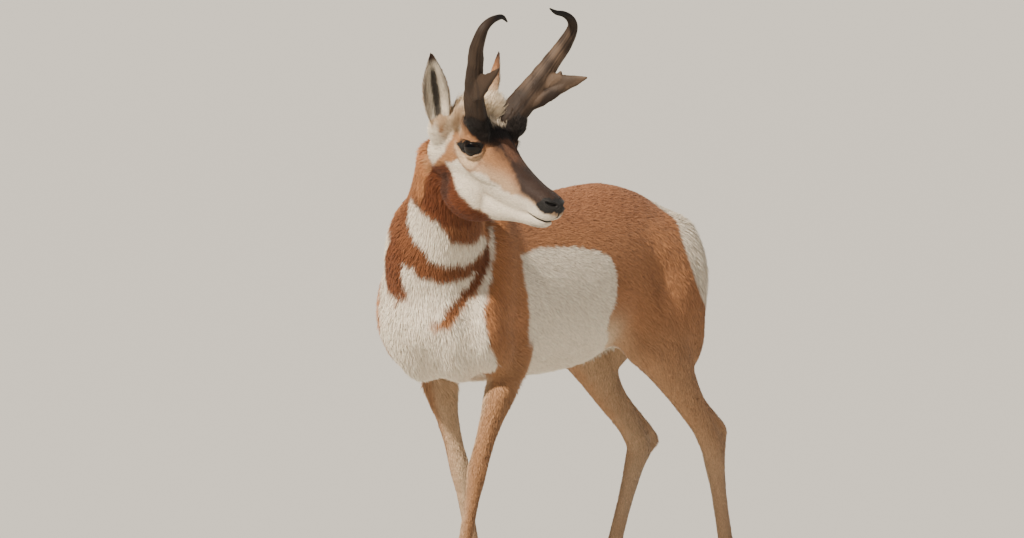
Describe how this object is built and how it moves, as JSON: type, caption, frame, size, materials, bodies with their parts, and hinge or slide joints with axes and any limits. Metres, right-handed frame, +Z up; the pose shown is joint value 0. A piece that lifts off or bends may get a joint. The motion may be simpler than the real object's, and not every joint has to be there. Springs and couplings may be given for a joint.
{
  "type": "animal figure",
  "caption": "Life-size pronghorn buck, standing in mid step with its head turned back to its left, as a still museum model.",
  "frame": {"origin": "centre of the bounding box, at its bottom, where the hooves stand", "axes": "+Z up; the animal faces -Y; its left side is towards +X"},
  "size_m": [0.5902, 1.1744, 1.2307],
  "materials": {
    "ear_left": "rusty tan short hair with white markings",
    "ear_right": "rusty tan short hair with white markings",
    "eye_left": "wet, polished dark brown",
    "eye_right": "wet, polished dark brown",
    "foreleg_left_lower": "rusty tan short hair with white markings",
    "foreleg_left_upper": "rusty tan short hair with white markings",
    "foreleg_right_lower": "rusty tan short hair with white markings",
    "foreleg_right_upper": "rusty tan short hair with white markings",
    "head": "rusty tan short hair with white markings",
    "hindleg_left_lower": "rusty tan short hair with white markings",
    "hindleg_left_upper": "rusty tan short hair with white markings",
    "hindleg_right_lower": "rusty tan short hair with white markings",
    "hindleg_right_upper": "rusty tan short hair with white markings",
    "hoof_fore_left_left": "dark grey-brown keratin, satin",
    "hoof_fore_left_right": "dark grey-brown keratin, satin",
    "hoof_fore_right_left": "dark grey-brown keratin, satin",
    "hoof_fore_right_right": "dark grey-brown keratin, satin",
    "hoof_hind_left_left": "dark grey-brown keratin, satin",
    "hoof_hind_left_right": "dark grey-brown keratin, satin",
    "hoof_hind_right_left": "dark grey-brown keratin, satin",
    "hoof_hind_right_right": "dark grey-brown keratin, satin",
    "horn_left": "dark grey-brown keratin, satin",
    "horn_right": "dark grey-brown keratin, satin",
    "neck": "rusty tan short hair with white markings",
    "tail": "cream short hair",
    "torso": "rusty tan short hair with white markings"
  },
  "bodies": {
    "root": {"ear_left": "ear_left", "ear_right": "ear_right", "eye_left": "eye_left", "eye_right": "eye_right", "foreleg_left_lower": "foreleg_left_lower", "foreleg_left_upper": "foreleg_left_upper", "foreleg_right_lower": "foreleg_right_lower", "foreleg_right_upper": "foreleg_right_upper", "head": "head", "hindleg_left_lower": "hindleg_left_lower", "hindleg_left_upper": "hindleg_left_upper", "hindleg_right_lower": "hindleg_right_lower", "hindleg_right_upper": "hindleg_right_upper", "hoof_fore_left_left": "hoof_fore_left_left", "hoof_fore_left_right": "hoof_fore_left_right", "hoof_fore_right_left": "hoof_fore_right_left", "hoof_fore_right_right": "hoof_fore_right_right", "hoof_hind_left_left": "hoof_hind_left_left", "hoof_hind_left_right": "hoof_hind_left_right", "hoof_hind_right_left": "hoof_hind_right_left", "hoof_hind_right_right": "hoof_hind_right_right", "horn_left": "horn_left", "horn_right": "horn_right", "neck": "neck", "tail": "tail", "torso": "torso"}
  },
  "joints": []
}
